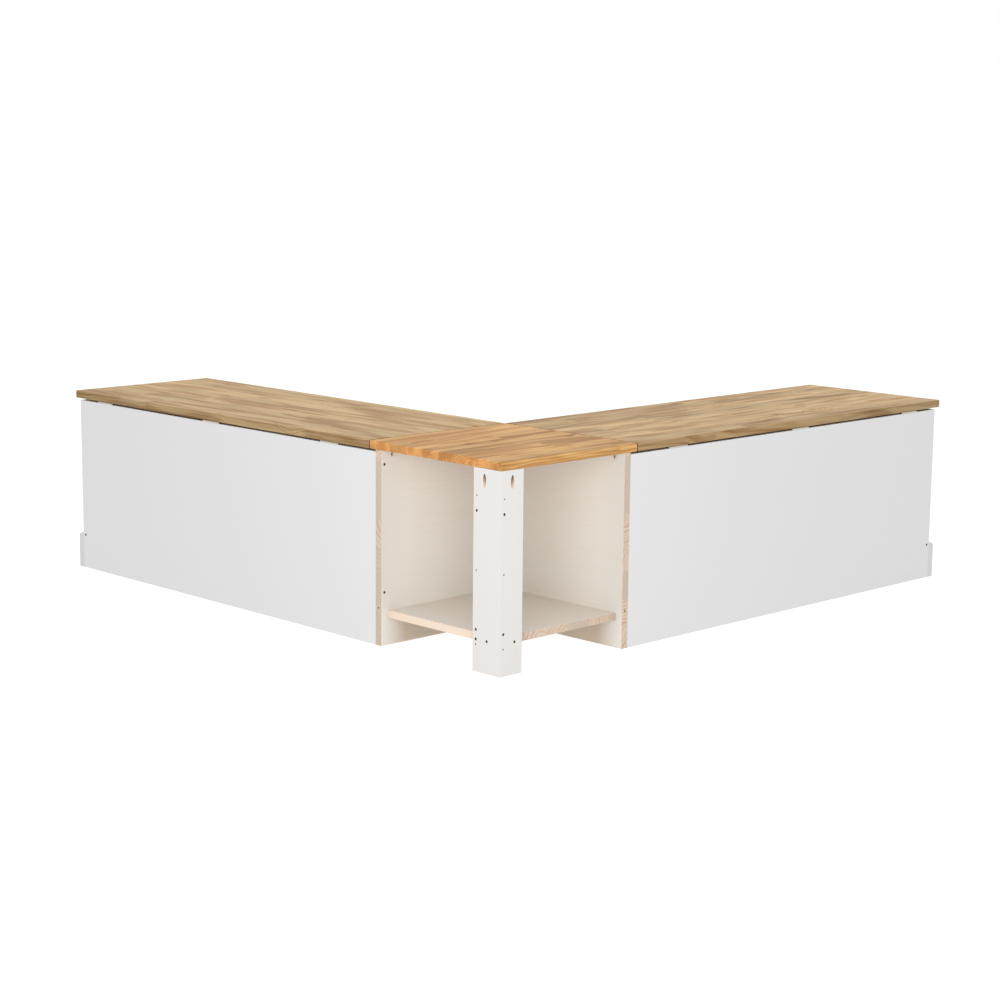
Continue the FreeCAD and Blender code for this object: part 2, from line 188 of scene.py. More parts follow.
# Kinds of node and settings that the trees share
MATH = "ShaderNodeMath"
VECTOR = "ShaderNodeVectorMath"
COMBINE = "ShaderNodeCombineXYZ"
SEPARATE = "ShaderNodeSeparateXYZ"
RANGE = "ShaderNodeMapRange"
MIX = "ShaderNodeMix"
NOISE = "ShaderNodeTexNoise"
DICE = "ShaderNodeTexWhiteNoise"
SMOOTH = {"interpolation_type": "SMOOTHSTEP"}
FALLING = {"To Min": 1.0, "To Max": 0.0}
COLOUR = {"data_type": "RGBA"}

# Inputs that are told apart only by number: those of a colour Mix and of a random value
SHARE, UNDER, OVER = 0, 6, 7
LEAST, MOST = 2, 3

# Pine, and the boards glued up from its strips. Lengths are in millimetres. A scale says how fast
# a pattern changes along, across and through a board, and a rarity is the share that goes without.
FINGER_WIDTH = 3.0
FINGER_SLOPE = 3.0
JOINT_SHIFT = 7.0
PITH_NEAREST = 14.0
PITH_SPREAD = 50.0
PITH_LEAN = 0.09
SWAY_SCALE = (0.0045, 0.03, 0.03)
SWAY_REACH = 18.0
SWIRL_NEAR, SWIRL_FAR = 4.0, 26.0
SWIRL_RISE = 24.0
SWIRL_RARITY = 0.45
KNOT_STRETCH = 3.0
KNOT_SHIFT = 12.0
KNOT_HEART, KNOT_RIM = 2.6, 4.4
KNOT_RARITY = 0.88
RING_CLOSEST, RING_SPREAD = 0.65, 0.7
RING_FAINTEST, RING_VARIETY = 0.45, 0.55
LATEWOOD_START, LATEWOOD_FULL, LATEWOOD_END = 0.3, 0.85, 0.92
STREAK_SCALE = (0.0042, 0.034, 0.034)
STREAK_APART = 60.0
STREAK_PALE, STREAK_DARK = 0.38, 0.64
FIBRE_SCALE = (0.018, 0.9, 0.9)
GLUE_CORE, GLUE_EDGE = 0.15, 0.8


def group_sockets(tree, in_out, sockets):
    """Add (name, kind, default) sockets to a node group."""
    for name, kind, default in sockets:
        socket = tree.interface.new_socket(
            name=name, in_out=in_out, socket_type="NodeSocket" + kind)
        if default is not None:
            socket.default_value = default


def pine_figure():
    """Growth rings of pine glued up from strips, in millimetres along, across and through a board.

    Each strip is cut from another place in the trunk, so its rings curve about a pith of its own.
    The pith leans a little, which draws arched figure on the faces, and the same rings meet the
    ends as arcs and the edges as stripes. Round a knot they swirl.
    """
    tree = bpy.data.node_groups.new("pine_figure", "ShaderNodeTree")
    sizes = ("Strip Width", "Strip Length", "Ring Width", "Seed")
    results = ("Latewood", "Tone", "Hue", "Streak", "Fibre", "Joint", "Knot")
    group_sockets(tree, "INPUT", [("Vector", "Vector", None)])
    group_sockets(tree, "INPUT", [(name, "Float", None) for name in sizes])
    group_sockets(tree, "OUTPUT", [(name, "Float", None) for name in results])
    vector, width, length, ring_width, seed, _ = tree.nodes.new("NodeGroupInput").outputs
    along, across, through = add_node(tree, SEPARATE, (vector,)).outputs

    # Strips, cut to length with finger joints
    strip = add_node(tree, MATH, (across, width), operation="DIVIDE")
    strip = add_node(tree, MATH, (strip, seed))
    strip_number = add_node(tree, MATH, (strip,), operation="FLOOR")
    strip_dice = add_node(tree, DICE, {"W": strip_number}, noise_dimensions="1D").outputs["Value"]
    finger = add_node(tree, MATH, (across, FINGER_WIDTH), operation="PINGPONG")
    cut = add_node(tree, MATH, (finger, FINGER_SLOPE, along), operation="MULTIPLY_ADD")
    reach = add_node(tree, MATH, (cut, length), operation="DIVIDE")
    reach = add_node(tree, MATH, (strip_dice, JOINT_SHIFT, reach), operation="MULTIPLY_ADD")
    reach_number = add_node(tree, MATH, (reach,), operation="FLOOR")
    cell = add_node(tree, COMBINE, (strip_number, reach_number, seed))
    dice = add_node(tree, DICE, {"Vector": cell}, noise_dimensions="3D").outputs["Color"]
    tone, hue, turn = add_node(tree, "ShaderNodeSeparateColor", (dice,)).outputs
    other_cell = add_node(tree, COMBINE, (reach_number, strip_number, seed))
    other_dice = add_node(tree, DICE, {"Vector": other_cell}, noise_dimensions="3D")
    other_dice = other_dice.outputs["Color"]
    far, slope, spacing = add_node(tree, "ShaderNodeSeparateColor", (other_dice,)).outputs
    strip_place = add_node(tree, MATH, (strip,), operation="FRACT")
    strip_place = add_node(tree, MATH, (strip_place, 0.5), operation="SUBTRACT")
    local = add_node(tree, MATH, (strip_place, width), operation="MULTIPLY")

    # The pith of each strip
    angle = add_node(tree, MATH, (turn, math.tau), operation="MULTIPLY")
    distance = add_node(tree, MATH, (far, PITH_SPREAD, PITH_NEAREST), operation="MULTIPLY_ADD")
    pith_across = add_node(tree, MATH, (angle,), operation="COSINE")
    pith_across = add_node(tree, MATH, (pith_across, distance), operation="MULTIPLY")
    pith_through = add_node(tree, MATH, (angle,), operation="SINE")
    pith_through = add_node(tree, MATH, (pith_through, distance), operation="MULTIPLY")
    lean = add_node(tree, MATH, (slope, 0.5), operation="SUBTRACT")
    lean = add_node(tree, MATH, (lean, PITH_LEAN), operation="MULTIPLY")
    pith_through = add_node(tree, MATH, (along, lean, pith_through), operation="MULTIPLY_ADD")

    # Slow sway of the rings, and the swirl round a knot
    slow = add_node(tree, VECTOR, (vector, SWAY_SCALE, dice), operation="MULTIPLY_ADD")
    sway = add_node(tree, NOISE, {"Vector": slow, "Scale": 1.0, "Detail": 2.0})
    sway = add_node(tree, MATH, (sway, 0.5), operation="SUBTRACT")
    sway = add_node(tree, MATH, (sway, SWAY_REACH), operation="MULTIPLY")
    knot_along = add_node(tree, MATH, (reach,), operation="FRACT")
    knot_along = add_node(tree, MATH, (knot_along, tone), operation="SUBTRACT")
    knot_along = add_node(tree, MATH, (knot_along, length), operation="MULTIPLY")
    knot_along = add_node(tree, MATH, (knot_along, KNOT_STRETCH), operation="DIVIDE")
    knot_across = add_node(tree, MATH, (hue, -2 * KNOT_SHIFT, KNOT_SHIFT), operation="MULTIPLY_ADD")
    knot_across = add_node(tree, MATH, (local, knot_across))
    from_knot = add_node(tree, COMBINE, (knot_along, knot_across))
    from_knot = add_node(tree, VECTOR, (from_knot,), operation="LENGTH").outputs["Value"]
    swirl = add_node(tree, RANGE, {
        "Value": from_knot, "From Min": SWIRL_NEAR, "From Max": SWIRL_FAR,
        "To Min": SWIRL_RISE, "To Max": 0.0}, **SMOOTH)
    has_swirl = add_node(tree, MATH, (spacing, SWIRL_RARITY), operation="GREATER_THAN")
    swirl = add_node(tree, MATH, (swirl, has_swirl), operation="MULTIPLY")
    knot = add_node(tree, RANGE, {
        "Value": from_knot, "From Min": KNOT_HEART, "From Max": KNOT_RIM, **FALLING}, **SMOOTH)
    has_knot = add_node(tree, MATH, (spacing, KNOT_RARITY), operation="GREATER_THAN")
    knot = add_node(tree, MATH, (knot, has_knot), operation="MULTIPLY")

    # Rings about the pith: soft earlywood that darkens, then ends sharply
    side = add_node(tree, MATH, (local, pith_across), operation="SUBTRACT")
    side = add_node(tree, MATH, (side, sway))
    depth = add_node(tree, MATH, (through, pith_through), operation="SUBTRACT")
    depth = add_node(tree, MATH, (depth, sway))
    depth = add_node(tree, MATH, (depth, swirl))
    from_pith = add_node(tree, COMBINE, (side, depth))
    from_pith = add_node(tree, VECTOR, (from_pith,), operation="LENGTH").outputs["Value"]
    spread = add_node(tree, MATH, (spacing, RING_SPREAD, RING_CLOSEST), operation="MULTIPLY_ADD")
    spread = add_node(tree, MATH, (ring_width, spread), operation="MULTIPLY")
    ring = add_node(tree, MATH, (from_pith, spread), operation="DIVIDE")
    ring_number = add_node(tree, MATH, (ring,), operation="FLOOR")
    ring_dice = add_node(tree, DICE, {"W": ring_number}, noise_dimensions="1D").outputs["Value"]
    strength = add_node(tree, MATH, (ring_dice, RING_VARIETY, RING_FAINTEST),
                        operation="MULTIPLY_ADD")
    part = add_node(tree, MATH, (ring,), operation="FRACT")
    rise = add_node(tree, RANGE, {
        "Value": part, "From Min": LATEWOOD_START, "From Max": LATEWOOD_FULL}, **SMOOTH)
    fall = add_node(tree, RANGE, {
        "Value": part, "From Min": LATEWOOD_END, "From Max": 1.0, **FALLING}, **SMOOTH)
    band = add_node(tree, MATH, (rise, fall), operation="MULTIPLY")
    band = add_node(tree, MATH, (band, strength), operation="MULTIPLY")

    # Broad streaks of darker wood, the fibres, and the glue lines between the strips
    apart = add_node(tree, VECTOR, {"Vector": dice, "Scale": STREAK_APART}, operation="SCALE")
    broad = add_node(tree, VECTOR, (vector, STREAK_SCALE, apart), operation="MULTIPLY_ADD")
    streak = add_node(tree, NOISE, {
        "Vector": broad, "Scale": 1.0, "Detail": 2.5, "Distortion": 0.6})
    streak = add_node(tree, RANGE, {
        "Value": streak, "From Min": STREAK_PALE, "From Max": STREAK_DARK}, **SMOOTH)
    fine = add_node(tree, VECTOR, (vector, FIBRE_SCALE), operation="MULTIPLY")
    fibre = add_node(tree, NOISE, {"Vector": fine, "Scale": 1.0, "Detail": 4.0})
    edge = add_node(tree, MATH, (strip_place,), operation="ABSOLUTE")
    edge = add_node(tree, MATH, (0.5, edge), operation="SUBTRACT")
    edge = add_node(tree, MATH, (edge, width), operation="MULTIPLY")
    glue = add_node(tree, RANGE, {
        "Value": edge, "From Min": GLUE_CORE, "From Max": GLUE_EDGE, **FALLING}, **SMOOTH)
    values = (band, tone, hue, streak, fibre, glue, knot)
    add_node(tree, "NodeGroupOutput", dict(zip(results, values)))


class Board:
    """How a wooden node lies: the axes of its grain, and which way its outer face looks."""

    def __init__(self, node, along, across, outward=0, raw_edges=False, bored=False, pockets=0,
                 shelf=None):
        self.node = node
        self.axes = (along, across, 3 - along - across)
        self.outward = outward
        self.raw_edges = raw_edges
        self.bored = bored
        self.pockets = pockets
        low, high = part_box(node)
        self.middle = (low + high) / 2
        self.half = [reach / MM for reach in (high - low) / 2]
        self.shelf_below = None
        if shelf:
            self.shelf_below = [(corner.z - self.middle.z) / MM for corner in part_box(shelf)]


# Where a board's surface changes, in millimetres from its box: the walls of holes, the deep part
# of a pocket, which is painted dark as shade, the arrises, and the rims at the ends of the grain,
# from which the painted shade of the corner compartment is measured
HOLE_RIM, HOLE_WALL = 0.25, 0.5
POCKET_MOUTH, POCKET_DEEP = 1.5, 6.0
ARRIS_CREST, ARRIS_FOOT = 0.4, 1.6
RIM_NEAR, RIM_FAR = 5.0, 70.0

# Bare pine: how deep the rings show on the faces, how much deeper on the end grain, the share of
# that in a quiet strip, how far the end grain darkens, and how much of that a lively strip keeps
# light
RAW_FACE_RINGS, RAW_END_RINGS = 0.17, 0.53
QUIET_BELOW, LIVELY_ABOVE = 0.4, 0.6
QUIET_RINGS = 0.25
RAW_END_DARKENING, RAW_LIVELY_LIGHT = -0.37, 0.15

FIBRE_RELIEF = 0.15 * MM
OIL_IOR = 1.45
LACQUER_IOR = 1.5


class WoodSurface:
    """The start of a board's material: where a point lies in it, and the pine figure there."""

    def __init__(self, name, board, timber, seed, strip_width, ring_width):
        self.board = board
        self.material = bpy.data.materials.new(name + ", " + board.node)
        self.material.use_nodes = True
        self.tree = tree = self.material.node_tree
        tree.nodes.clear()
        place = tree.nodes.new("ShaderNodeTexCoord").outputs
        centred = add_node(tree, VECTOR, (place["Object"], board.middle), operation="SUBTRACT")
        in_mm = add_node(tree, VECTOR, {"Vector": centred, "Scale": 1 / MM}, operation="SCALE")
        self.place = add_node(tree, SEPARATE, (in_mm,)).outputs
        self.facing = add_node(tree, SEPARATE, (place["Normal"],)).outputs
        along, _, through = board.axes
        self.end_facing = add_node(tree, MATH, (self.facing[along],), operation="ABSOLUTE")
        self.face_facing = add_node(tree, MATH, (self.facing[through],), operation="ABSOLUTE")
        lined_up = add_node(tree, COMBINE, [self.place[axis] for axis in board.axes])
        figure = add_node(tree, "ShaderNodeGroup", {
            "Vector": lined_up, "Strip Width": strip_width / MM,
            "Strip Length": timber.stave_length / MM, "Ring Width": ring_width / MM, "Seed": seed,
        }, node_tree=bpy.data.node_groups["pine_figure"])
        (self.latewood, self.tone, self.hue, self.streak, self.fibre, self.joint,
         self.knot) = figure.outputs

    def find_edges(self):
        """Mark the holes, which alone lie below the board's box, its arrises and its inside."""
        tree = self.tree
        room = []
        for reach, part in zip(self.board.half, self.place):
            off_middle = add_node(tree, MATH, (part,), operation="ABSOLUTE")
            room.append(add_node(tree, MATH, (reach, off_middle), operation="SUBTRACT"))
        nearer = add_node(tree, MATH, room[:2], operation="MINIMUM")
        further = add_node(tree, MATH, room[:2], operation="MAXIMUM")
        depth = add_node(tree, MATH, (nearer, room[2]), operation="MINIMUM")
        from_edge = add_node(tree, MATH, (further, room[2]), operation="MINIMUM")
        from_edge = add_node(tree, MATH, (nearer, from_edge), operation="MAXIMUM")
        self.hole = add_node(tree, RANGE, {
            "Value": depth, "From Min": HOLE_RIM, "From Max": HOLE_WALL})
        self.deep_in = add_node(tree, RANGE, {
            "Value": depth, "From Min": POCKET_MOUTH, "From Max": POCKET_DEEP})
        self.arris = add_node(tree, RANGE, {
            "Value": from_edge, "From Min": ARRIS_CREST, "From Max": ARRIS_FOOT, **FALLING})
        self.inside = add_node(tree, RANGE, {
            "Value": room[self.board.axes[0]], "From Min": RIM_NEAR, "From Max": RIM_FAR})

    def raw_colour(self, timber):
        """Bare planed pine: cream, with reddish rings on the end grain of every second strip."""
        tree = self.tree
        lively = add_node(tree, RANGE, {
            "Value": self.tone, "From Min": QUIET_BELOW, "From Max": LIVELY_ABOVE,
            "To Min": QUIET_RINGS})
        depth = add_node(tree, MATH, (self.end_facing, RAW_END_RINGS, RAW_FACE_RINGS),
                         operation="MULTIPLY_ADD")
        depth = add_node(tree, MATH, (depth, lively), operation="MULTIPLY")
        depth = add_node(tree, MATH, (self.latewood, depth), operation="MULTIPLY")
        wood = add_node(tree, MIX, {
            SHARE: depth, UNDER: timber.raw_early, OVER: timber.raw_late}, **COLOUR)
        shade = add_node(tree, MATH, (lively, RAW_LIVELY_LIGHT, RAW_END_DARKENING),
                         operation="MULTIPLY_ADD")
        shade = add_node(tree, MATH, (self.end_facing, shade, 1.0), operation="MULTIPLY_ADD")
        return add_node(tree, VECTOR, {"Vector": wood, "Scale": shade}, operation="SCALE")

    def finish(self, colour, roughness, bump_height, bump_strength, ior, specular=0.5):
        """Close the material with one shader, and give it to the board's node."""
        tree = self.tree
        bump = add_node(tree, "ShaderNodeBump", {
            "Height": bump_height, "Strength": bump_strength, "Distance": FIBRE_RELIEF})
        shader = add_node(tree, "ShaderNodeBsdfPrincipled", {
            "Base Color": colour, "Roughness": roughness, "Normal": bump, "IOR": ior,
            "Specular IOR Level": specular})
        add_node(tree, "ShaderNodeOutputMaterial", (shader,))
        coat(self.board.node, self.material)


def coat(node, material):
    """Give a node its finish."""
    materials = frame["nodes"][node].data.materials
    materials.clear()
    materials.append(material)


def oil(board, timber, seed, edge_shade, tint):
    # Pine boards glued up from strips, sanded and oiled. The oil turns the rings golden brown and
    # leaves each strip a tone of its own, with long darker streaks. End grain drinks more and looks
    # orange, and the edges of the lids are painted darker than the face as shade. The gloss is a
    # low satin, a little duller in the fibres, whose open pores take away most of the glare.
    ring_depth, streak_depth, joint_depth = 0.5, 0.62, 0.3
    most_warmth, end_soak = 0.1, 0.5
    darkest_strip, strip_spread = 0.9, 0.26
    darkest_fibre, fibre_spread = 0.88, 0.24
    satin, pore_dulling = 0.46, 0.14
    wood = WoodSurface("Oiled pine", board, timber, seed, timber.stave_width, timber.ring_width)
    tree = wood.tree
    rings = add_node(tree, MATH, (wood.latewood, ring_depth), operation="MULTIPLY")
    rings = add_node(tree, MATH, (wood.streak, streak_depth, rings), operation="MULTIPLY_ADD",
                     use_clamp=True)
    colour = add_node(tree, MIX, {
        SHARE: rings, UNDER: timber.seat_early, OVER: timber.seat_late}, **COLOUR)
    warm = add_node(tree, MATH, (wood.hue, most_warmth), operation="MULTIPLY")
    colour = add_node(tree, MIX, {SHARE: warm, UNDER: colour, OVER: timber.seat_end}, **COLOUR)
    ending = add_node(tree, RANGE, {
        "Value": wood.end_facing, "From Min": 0.7, "From Max": 0.9, "To Max": end_soak})
    colour = add_node(tree, MIX, {SHARE: ending, UNDER: colour, OVER: timber.seat_end}, **COLOUR)
    colour = add_node(tree, MIX, {SHARE: 1.0, UNDER: colour, OVER: tint},
                      blend_type="MULTIPLY", **COLOUR)
    joint = add_node(tree, MATH, (wood.joint, joint_depth), operation="MULTIPLY")
    colour = add_node(tree, MIX, {SHARE: joint, UNDER: colour, OVER: timber.seat_late}, **COLOUR)
    colour = add_node(tree, MIX, {SHARE: wood.knot, UNDER: colour, OVER: timber.knot}, **COLOUR)
    shade = add_node(tree, MATH, (wood.tone, strip_spread, darkest_strip), operation="MULTIPLY_ADD")
    fibre = add_node(tree, MATH, (wood.fibre, fibre_spread, darkest_fibre),
                     operation="MULTIPLY_ADD")
    # Painted shade: the edges darken by edge_shade against the face
    edge_shading = add_node(tree, RANGE, {
        "Value": wood.face_facing, "From Min": 0.6, "From Max": 0.9, "To Min": edge_shade})
    shade = add_node(tree, MATH, (shade, fibre), operation="MULTIPLY")
    shade = add_node(tree, MATH, (shade, edge_shading), operation="MULTIPLY")
    colour = add_node(tree, VECTOR, {"Vector": colour, "Scale": shade}, operation="SCALE")
    roughness = add_node(tree, MATH, (wood.fibre, pore_dulling, satin), operation="MULTIPLY_ADD")
    height = add_node(tree, MATH, (wood.fibre, wood.latewood))
    wood.finish(colour, roughness, height, bump_strength=0.25, ior=OIL_IOR, specular=0.2)


def paint_of(wood, timber, white):
    """The lacquer's colour, with painted light on warm inner faces and painted shade in the
    compartment.
    """
    board, tree = wood.board, wood.tree
    rim_shade_depth = 0.11
    paint = timber.inner_lacquer_with_painted_light
    if board.outward:
        through = board.axes[2]
        outward = add_node(tree, MATH, (wood.facing[through], float(board.outward)),
                           operation="MULTIPLY")
        inner = add_node(tree, RANGE, {
            "Value": outward, "From Min": -0.9, "From Max": -0.5, **FALLING})
        paint = add_node(tree, MIX, {
            SHARE: inner, UNDER: white, OVER: timber.inner_lacquer_with_painted_light}, **COLOUR)
    # Painted shade: under the shelf and away from the rims the inner faces take the shade colour
    if board.shelf_below:
        shelf_underside, shelf_top = board.shelf_below
        low = add_node(tree, RANGE, {
            "Value": wood.place[Z], "From Min": shelf_underside, "From Max": shelf_top, **FALLING})
        low = add_node(tree, MATH, (low, wood.inside), operation="MULTIPLY")
        paint = add_node(tree, MIX, {SHARE: low, UNDER: paint, OVER: timber.under_shelf_shade}, **COLOUR)
        # Painted shade: the inner faces darken toward the rims of the corner compartment
        depth = add_node(tree, MATH, (wood.inside, rim_shade_depth, 1 - rim_shade_depth),
                         operation="MULTIPLY_ADD")
        paint = add_node(tree, VECTOR, {"Vector": paint, "Scale": depth}, operation="SCALE")
    return paint


def bore_of(wood, timber):
    """The colour of a hole's wall: painted shade, but orange bare pine at the mouth of a slanting
    pocket.
    """
    board, tree = wood.board, wood.tree
    if not board.pockets:
        return timber.hole_shade
    # Painted shade: holes below the pockets and the deep part of each pocket take the dark colour
    low_down = add_node(tree, MATH, (wood.place[Z], board.half[Z] - board.pockets),
                        operation="LESS_THAN")
    hole_shade = add_node(tree, MATH, (low_down, wood.deep_in), operation="MAXIMUM")
    return add_node(tree, MIX, {SHARE: hole_shade, UNDER: timber.pocket, OVER: timber.hole_shade}, **COLOUR)


def lacquer(board, timber, seed, white, figure):
    # White lacquer sprayed on pine. It levels the surface, so the rings stay as faint ridges and a
    # breath of tan. Inner faces have one thin warm coat, painted lighter as light for the dim
    # compartment; near the rims of the corner compartment and in the low space under its shelf they
    # are painted darker as shade, and every coat is thinnest on the arrises.
    # End grain soaks it up and looks duller.
    # Edges and holes that were cut after spraying are bare and matt: end grain with reddish rings,
    # orange pockets painted dark as shade deeper in, and small holes painted dark as shade.
    tone_share, arris_depth, end_dulling = 0.5, 0.10, -0.1
    semi_gloss, bare_dulling, fibre_dulling = 0.38, 0.25, 0.1
    wood = WoodSurface("White lacquered pine", board, timber, seed,
                       timber.panel_stave, timber.panel_ring)
    wood.find_edges()
    tree = wood.tree
    ghost = add_node(tree, MATH, (wood.latewood, figure), operation="MULTIPLY")
    ghost = add_node(tree, MATH, (wood.tone, figure * tone_share, ghost), operation="MULTIPLY_ADD")
    ghost = add_node(tree, MATH, (wood.arris, arris_depth, ghost), operation="MULTIPLY_ADD")
    raw = wood.raw_colour(timber)
    colour = add_node(tree, MIX, {
        SHARE: ghost, UNDER: paint_of(wood, timber, white), OVER: raw}, **COLOUR)
    bare = 0.0
    if board.raw_edges:
        bare = add_node(tree, RANGE, {
            "Value": wood.face_facing, "From Min": 0.6, "From Max": 0.8, **FALLING})
        colour = add_node(tree, MIX, {SHARE: bare, UNDER: colour, OVER: raw}, **COLOUR)
    else:
        dull = add_node(tree, MATH, (wood.end_facing, end_dulling, 1.0), operation="MULTIPLY_ADD")
        colour = add_node(tree, VECTOR, {"Vector": colour, "Scale": dull}, operation="SCALE")
    if board.bored:
        colour = add_node(tree, MIX, {
            SHARE: wood.hole, UNDER: colour, OVER: bore_of(wood, timber)}, **COLOUR)
        bare = add_node(tree, MATH, (bare, wood.hole), operation="MAXIMUM")
    roughness = add_node(tree, MATH, (bare, bare_dulling), operation="MULTIPLY")
    roughness = add_node(tree, MATH, (wood.fibre, fibre_dulling, roughness),
                         operation="MULTIPLY_ADD")
    roughness = add_node(tree, MATH, (roughness, semi_gloss))
    height = add_node(tree, MATH, (wood.fibre, wood.latewood))
    wood.finish(colour, roughness, height, bump_strength=0.15, ior=LACQUER_IOR)


def plane(board, timber, seed):
    # Bare planed pine of the hidden bars and pegs: cream and matt, with its fibres open.
    darkest_fibre, fibre_spread = 0.9, 0.2
    matt, fibre_dulling = 0.62, 0.15
    wood = WoodSurface("Planed pine", board, timber, seed, timber.stave_width, timber.ring_width)
    tree = wood.tree
    shade = add_node(tree, MATH, (wood.fibre, fibre_spread, darkest_fibre),
                     operation="MULTIPLY_ADD")
    colour = add_node(tree, VECTOR, {"Vector": wood.raw_colour(timber), "Scale": shade},
                      operation="SCALE")
    roughness = add_node(tree, MATH, (wood.fibre, fibre_dulling, matt), operation="MULTIPLY_ADD")
    wood.finish(colour, roughness, wood.fibre, bump_strength=0.3, ior=OIL_IOR)


def plated_steel(name, colour, metallic, roughness_low, roughness_high, grain_mm):
    # Pressed steel with a plated or blackened skin. The skin's fine crystal grain breaks up the
    # gloss. It is drawn coarser than the real one so that it shows.
    dark_grain, grain_relief = 0.8, 0.05 * MM
    material = bpy.data.materials.new(name)
    material.use_nodes = True
    tree = material.node_tree
    tree.nodes.clear()
    place = tree.nodes.new("ShaderNodeTexCoord").outputs["Object"]
    in_grains = add_node(tree, VECTOR, {"Vector": place, "Scale": 1 / (grain_mm * MM)},
                         operation="SCALE")
    grain = add_node(tree, NOISE, {"Vector": in_grains, "Scale": 1.0, "Detail": 3.0})
    darker = [part * dark_grain for part in colour[:3]] + [1.0]
    tint = add_node(tree, MIX, {SHARE: grain, UNDER: darker, OVER: colour}, **COLOUR)
    roughness = add_node(tree, RANGE, {
        "Value": grain, "From Min": 0.3, "From Max": 0.7,
        "To Min": roughness_low, "To Max": roughness_high})
    bump = add_node(tree, "ShaderNodeBump", {
        "Height": grain, "Strength": 0.15, "Distance": grain_relief})
    shader = add_node(tree, "ShaderNodeBsdfPrincipled", {
        "Base Color": tint, "Metallic": metallic, "Roughness": roughness, "Normal": bump})
    add_node(tree, "ShaderNodeOutputMaterial", (shader,))
    return material


def wing_axes(wing):
    """The axes along a wing and from wall to room, and the signs toward its wall and free end."""
    return (X, Y, 1, 1) if wing == RIGHT else (Y, X, -1, -1)


class BENCH_OT_seats(bpy.types.Operator):
    """Oil the two lids and the fixed corner seat"""

    bl_idname = "bench.seats"
    bl_label = "Oiled seats"

    def execute(self, context):
        timber = context.scene.bench_timber
        # edge_shade darkens a board's edges as painted shade
        oil(Board("corner_top", Y, X), timber, seed=3.3, edge_shade=0.97, tint=timber.corner_tint)
        oil(Board("right_lid", X, Y), timber, seed=11.6, edge_shade=0.64, tint=timber.lid_tint)
        oil(Board("left_lid", Y, X), timber, seed=22.9, edge_shade=0.64, tint=timber.lid_tint)
        return {"FINISHED"}


class BENCH_OT_case(bpy.types.Operator):
    """Lacquer the panels, plinths, shelf and post"""

    bl_idname = "bench.case"
    bl_label = "Lacquered case"

    # How strongly the wood shows through the coats of each group
    inner_figure = 0.09
    post_figure = 0.03
    outer_figure = 0.05
    rear_figure = 0.015

    # Millimetres below a board's top within which its bored holes are slanting pockets
    panel_pockets = 18
    post_pockets = 58

    first_seed = 40.0
    seed_step = 7.7

    def execute(self, context):
        timber = context.scene.bench_timber
        panel = {"raw_edges": True, "pockets": self.panel_pockets, "shelf": "corner_shelf"}
        inner = [
            Board("corner_side_panel_right", Y, Z, bored=True, **panel),
            Board("corner_side_panel_left", X, Z, bored=True, **panel),
            Board("corner_shelf", X, Y, raw_edges=True),
            Board("right_bottom_panel", X, Y),
            Board("left_bottom_panel", Y, X),
        ]
        post = [
            Board("corner_post_board_right", Z, X, 1, bored=True, pockets=self.post_pockets),
            Board("corner_post_board_left", Z, Y, -1, bored=True, pockets=self.post_pockets),
        ]
        outer, rear = [], []
        for wing in (RIGHT, LEFT):
            run, deep, wall, free = wing_axes(wing)
            rear.append(Board(wing + "_rear_panel", run, Z, outward=wall, bored=True))
            outer += [
                Board(wing + "_front_panel", run, Z, outward=-wall),
                Board(wing + "_end_panel", deep, Z, outward=free),
                Board(wing + "_front_plinth", run, Z, outward=-wall),
                Board(wing + "_end_plinth", deep, Z, outward=free),
            ]
        seed = self.first_seed
        for boards, white, figure in (
            (inner, timber.inner_lacquer_with_painted_light, self.inner_figure),
            (post, timber.lacquer_post, self.post_figure),
            (outer, timber.lacquer, self.outer_figure),
            (rear, timber.lacquer, self.rear_figure),
        ):
            for board in boards:
                lacquer(board, timber, seed, white, figure)
                seed += self.seed_step
        return {"FINISHED"}


class BENCH_OT_bars(bpy.types.Operator):
    """Plane the cleats, battens and dowels"""

    bl_idname = "bench.bars"
    bl_label = "Bare bars and pegs"

    first_seed = 200
    seed_step = 5.3

    def execute(self, context):
        timber = context.scene.bench_timber
        boards = [Board("corner_dowels", X, Z)]
        for wing in (RIGHT, LEFT):
            run, deep, _, _ = wing_axes(wing)
            boards += [
                Board(wing + "_rear_cleat", run, Z),
                Board(wing + "_front_cleat", run, Z),
                Board(wing + "_lid_batten_inner", deep, run),
                Board(wing + "_lid_batten_outer", deep, run),
                Board(wing + "_dowels", run, Z),
            ]
        for index, board in enumerate(boards):
            plane(board, timber, self.first_seed + index * self.seed_step)
        return {"FINISHED"}


class BENCH_OT_hinges(bpy.types.Operator):
    """Plate the hinge leaves and pins"""

    bl_idname = "bench.hinges"
    bl_label = "Zinc-plated hinges"

    def execute(self, context):
        zinc = plated_steel(
            "Zinc-plated steel", context.scene.bench_metal.zinc, metallic=1.0,
            roughness_low=0.35, roughness_high=0.55, grain_mm=2.5)
        for name in frame["nodes"]:
            if "hinge" in name and not name.endswith("screws"):
                coat(name, zinc)
        return {"FINISHED"}


HEAD_SIDES = 24
SHANK_SIDES = 16
# Length, thickness and height of the blade that cuts the recess, as shares of the head's radius
BLADE = (1.15, 0.24, 0.8)


